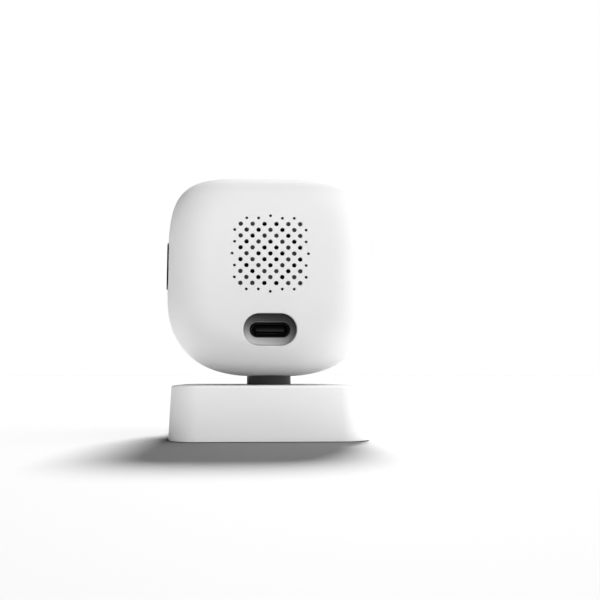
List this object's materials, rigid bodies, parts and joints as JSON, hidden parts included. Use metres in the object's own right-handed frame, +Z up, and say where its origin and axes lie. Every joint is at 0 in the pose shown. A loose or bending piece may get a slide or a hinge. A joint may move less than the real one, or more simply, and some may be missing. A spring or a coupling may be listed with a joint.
{
  "type": "security camera",
  "caption": "Small indoor camera: a soft-cornered white head with a lens in front and a dotted speaker grille behind, tilting on a short neck that pans over a square weighted base.",
  "frame": {"origin": "middle of the foot pad's underside, on the surface the camera stands on", "axes": "+Z up along the pan axis; the lens looks along -Y at rest; +X is the camera's own left side, where the push key is"},
  "size_m": [0.0501, 0.049, 0.0638],
  "materials": {
    "white_shell": "fine matte",
    "neck_grey": "satin",
    "dark_plastic": "satin",
    "key_black": "satin",
    "window_black": "gloss",
    "barrel_black": "matte",
    "lens_glass": "coated",
    "lamp_clear": "clear",
    "board_green": "solder mask",
    "chip_black": "moulded",
    "bare_steel": "plain",
    "dark_nickel": "black nickel plated",
    "bare_aluminium": "plain",
    "black_rubber": "matte",
    "ribbon_film": "film",
    "black_cloth": "woven"
  },
  "bodies": {
    "base": {"base_cover": "white_shell", "base_plate": "dark_plastic", "base_weight": "bare_steel", "foot_pad": "black_rubber", "base_screw_1": "bare_steel", "base_screw_2": "bare_steel", "base_screw_3": "bare_steel", "base_screw_4": "bare_steel", "pan_retainer": "bare_aluminium", "pan_screw_1": "bare_steel", "pan_screw_2": "bare_steel", "pan_screw_3": "bare_steel"},
    "neck": {"neck_stem": "neck_grey", "pan_washer": "black_rubber", "friction_washer_left": "black_rubber", "friction_washer_right": "black_rubber"},
    "head": {"rear_housing": "white_shell", "front_bezel": "white_shell", "lens_holder": "dark_plastic", "speaker_frame": "dark_plastic", "front_window": "window_black", "lens_barrel": "barrel_black", "lens_front_glass": "lens_glass", "lens_rear_glass": "lens_glass", "infrared_led_1": "lamp_clear", "infrared_led_2": "lamp_clear", "infrared_led_3": "lamp_clear", "infrared_led_4": "lamp_clear", "status_led": "lamp_clear", "camera_board": "board_green", "led_board": "board_green", "main_board": "board_green", "power_board": "board_green", "button_board": "board_green", "image_sensor": "chip_black", "light_sensor": "chip_black", "processor": "chip_black", "usb_tongue": "chip_black", "speaker_cone": "chip_black", "tilt_bracket": "bare_steel", "tilt_pin": "bare_steel", "speaker_magnet": "bare_steel", "bracket_screw_1": "bare_steel", "bracket_screw_2": "bare_steel", "bracket_screw_3": "bare_steel", "bracket_screw_4": "bare_steel", "board_screw_1": "bare_steel", "board_screw_2": "bare_steel", "usb_shell": "dark_nickel", "pin_clip": "bare_aluminium", "heat_spreader": "bare_aluminium", "microphone": "bare_aluminium", "tact_switch": "bare_aluminium", "light_baffle": "black_rubber", "speaker_gasket": "black_rubber", "sensor_ribbon": "ribbon_film", "grille_cloth": "black_cloth"},
    "key": {"side_button": "key_black", "switch_plunger": "chip_black"}
  },
  "joints": [
    {"name": "pan", "type": "hinge", "parent": "base", "child": "neck", "pos_m": [0, 0, 0.013], "axis": [0, 0, 1], "continuous": true},
    {"name": "tilt", "type": "hinge", "parent": "neck", "child": "head", "pos_m": [0, 0, 0.0279], "axis": [1, 0, 0], "range_deg": [-12, 12]},
    {"name": "key_press", "type": "slide", "parent": "head", "child": "key", "axis": [-1, 0, 0], "range_m": [0, 0.0004], "stiffness_N_per_m": 900, "springref_m": -0.0004}
  ]
}
